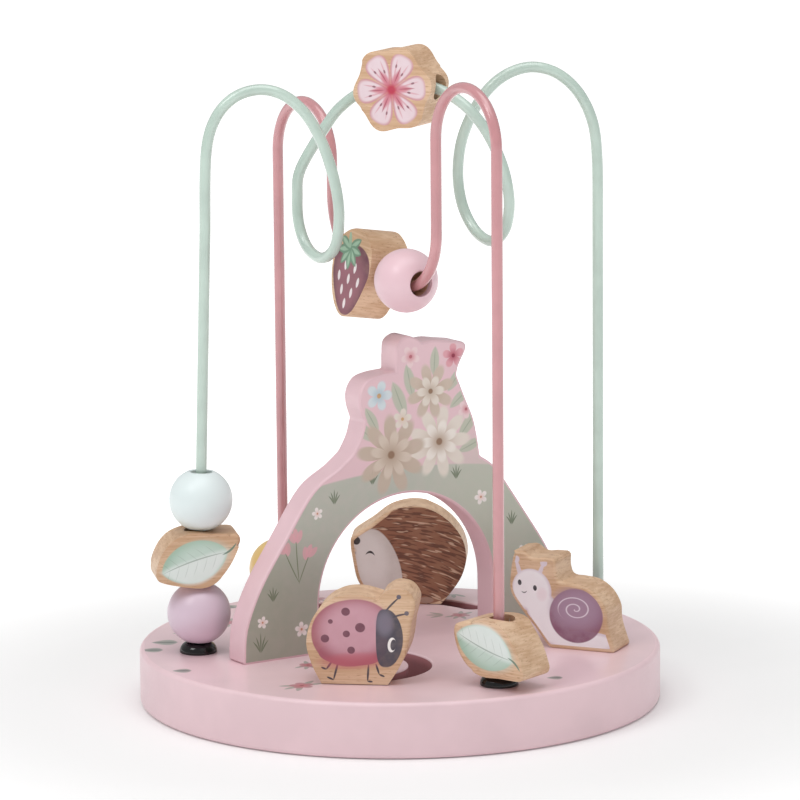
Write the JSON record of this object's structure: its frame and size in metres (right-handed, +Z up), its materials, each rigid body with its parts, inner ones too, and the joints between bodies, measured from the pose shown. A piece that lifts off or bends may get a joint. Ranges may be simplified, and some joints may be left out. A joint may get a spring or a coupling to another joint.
{
  "type": "bead maze",
  "caption": "Wooden bead maze: round base with an arched panel, bent wires with sliding beads, and flat figures that run in a curved track.",
  "frame": {"origin": "centre of the underside of the round base", "axes": "+Z up, +X along the arched panel, the panel's printed front faces -Y"},
  "size_m": [0.21, 0.21, 0.2633],
  "materials": {
    "pink_paint": "pale pink satin paint on wood",
    "plywood": "bare plywood",
    "dowel_wood": "bare beech dowel",
    "printed_beech": "clear-coated beech with a print on its face",
    "white_paint": "white satin paint on wood",
    "purple_paint": "lilac satin paint on wood",
    "yellow_paint": "ochre satin paint on wood",
    "pale_pink_paint": "pale pink satin paint on wood",
    "mint_coated_wire": "mint gloss coating on steel wire",
    "pink_coated_wire": "rose gloss coating on steel wire",
    "black_collar": "black gloss plastic",
    "zinc_screw": "zinc-plated steel"
  },
  "bodies": {
    "base": {"base_disc": "pink_paint", "bottom_cover": "plywood", "cover_screws": "zinc_screw", "arch_panel": "pink_paint", "arch_dowels": "dowel_wood", "mint_wire": "mint_coated_wire", "pink_wire": "pink_coated_wire", "collar_mint_left": "black_collar", "collar_mint_right": "black_collar", "collar_pink_front": "black_collar", "collar_pink_back": "black_collar", "snail_figure": "printed_beech", "snail_dowels": "dowel_wood"},
    "purple_bead": {"purple_ball": "purple_paint"},
    "left_leaf": {"leaf_bead_left": "printed_beech"},
    "white_bead": {"white_ball": "white_paint"},
    "yellow_bead": {"yellow_ball": "yellow_paint"},
    "front_leaf": {"leaf_bead_front": "printed_beech"},
    "flower": {"flower_bead": "printed_beech"},
    "strawberry": {"strawberry_bead": "printed_beech"},
    "pink_bead": {"pink_ball": "pale_pink_paint"},
    "ladybird_runner": {"ladybird_keeper": "plywood"},
    "ladybird": {"ladybird_figure": "printed_beech", "ladybird_peg": "dowel_wood", "ladybird_screw": "zinc_screw"},
    "hedgehog_runner": {"hedgehog_keeper": "plywood"},
    "hedgehog": {"hedgehog_figure": "printed_beech", "hedgehog_peg": "dowel_wood", "hedgehog_screw": "zinc_screw"}
  },
  "joints": [
    {"name": "purple_slide", "type": "slide", "parent": "base", "child": "purple_bead", "axis": [0.027, -0.016, 0.9995], "range_m": [0, 0.03]},
    {"name": "left_leaf_slide", "type": "slide", "parent": "purple_bead", "child": "left_leaf", "axis": [0.027, -0.016, 0.9995], "range_m": [0, 0.03]},
    {"name": "white_slide", "type": "slide", "parent": "left_leaf", "child": "white_bead", "axis": [0.027, -0.016, 0.9995], "range_m": [0, 0.03]},
    {"name": "yellow_slide", "type": "slide", "parent": "base", "child": "yellow_bead", "axis": [0, 0, 1], "range_m": [0, 0.13]},
    {"name": "front_leaf_slide", "type": "slide", "parent": "base", "child": "front_leaf", "axis": [0, 0, 1], "range_m": [0, 0.13]},
    {"name": "flower_swing", "type": "hinge", "parent": "base", "child": "flower", "pos_m": [0.0025, -0.004, 0.207], "axis": [0.8387, 0.5446, 0], "range_deg": [-25, 22]},
    {"name": "strawberry_swing", "type": "hinge", "parent": "base", "child": "strawberry", "pos_m": [-0.00579, 0.009, 0.2007], "axis": [0.9997, -0.0238, 0], "range_deg": [-6, 64]},
    {"name": "pink_bead_swing", "type": "hinge", "parent": "base", "child": "pink_bead", "pos_m": [-0.00641, -0.01699, 0.1927], "axis": [-0.9997, 0.0238, 0], "range_deg": [0, 70]},
    {"name": "ladybird_track", "type": "hinge", "parent": "base", "child": "ladybird_runner", "pos_m": [-0.0355, -0.025, 0.012], "axis": [0, 0, 1], "range_deg": [-10, 112]},
    {"name": "ladybird_swivel", "type": "hinge", "parent": "ladybird_runner", "child": "ladybird", "pos_m": [-0.04884, -0.04555, 0.022], "axis": [0, 0, 1], "continuous": true},
    {"name": "hedgehog_track", "type": "hinge", "parent": "base", "child": "hedgehog_runner", "pos_m": [0.01502, 0.03111, 0.012], "axis": [0, 0, 1], "range_deg": [-33, 20]},
    {"name": "hedgehog_swivel", "type": "hinge", "parent": "hedgehog_runner", "child": "hedgehog", "pos_m": [0.04684, 0.06293, 0.022], "axis": [0, 0, 1], "continuous": true}
  ]
}
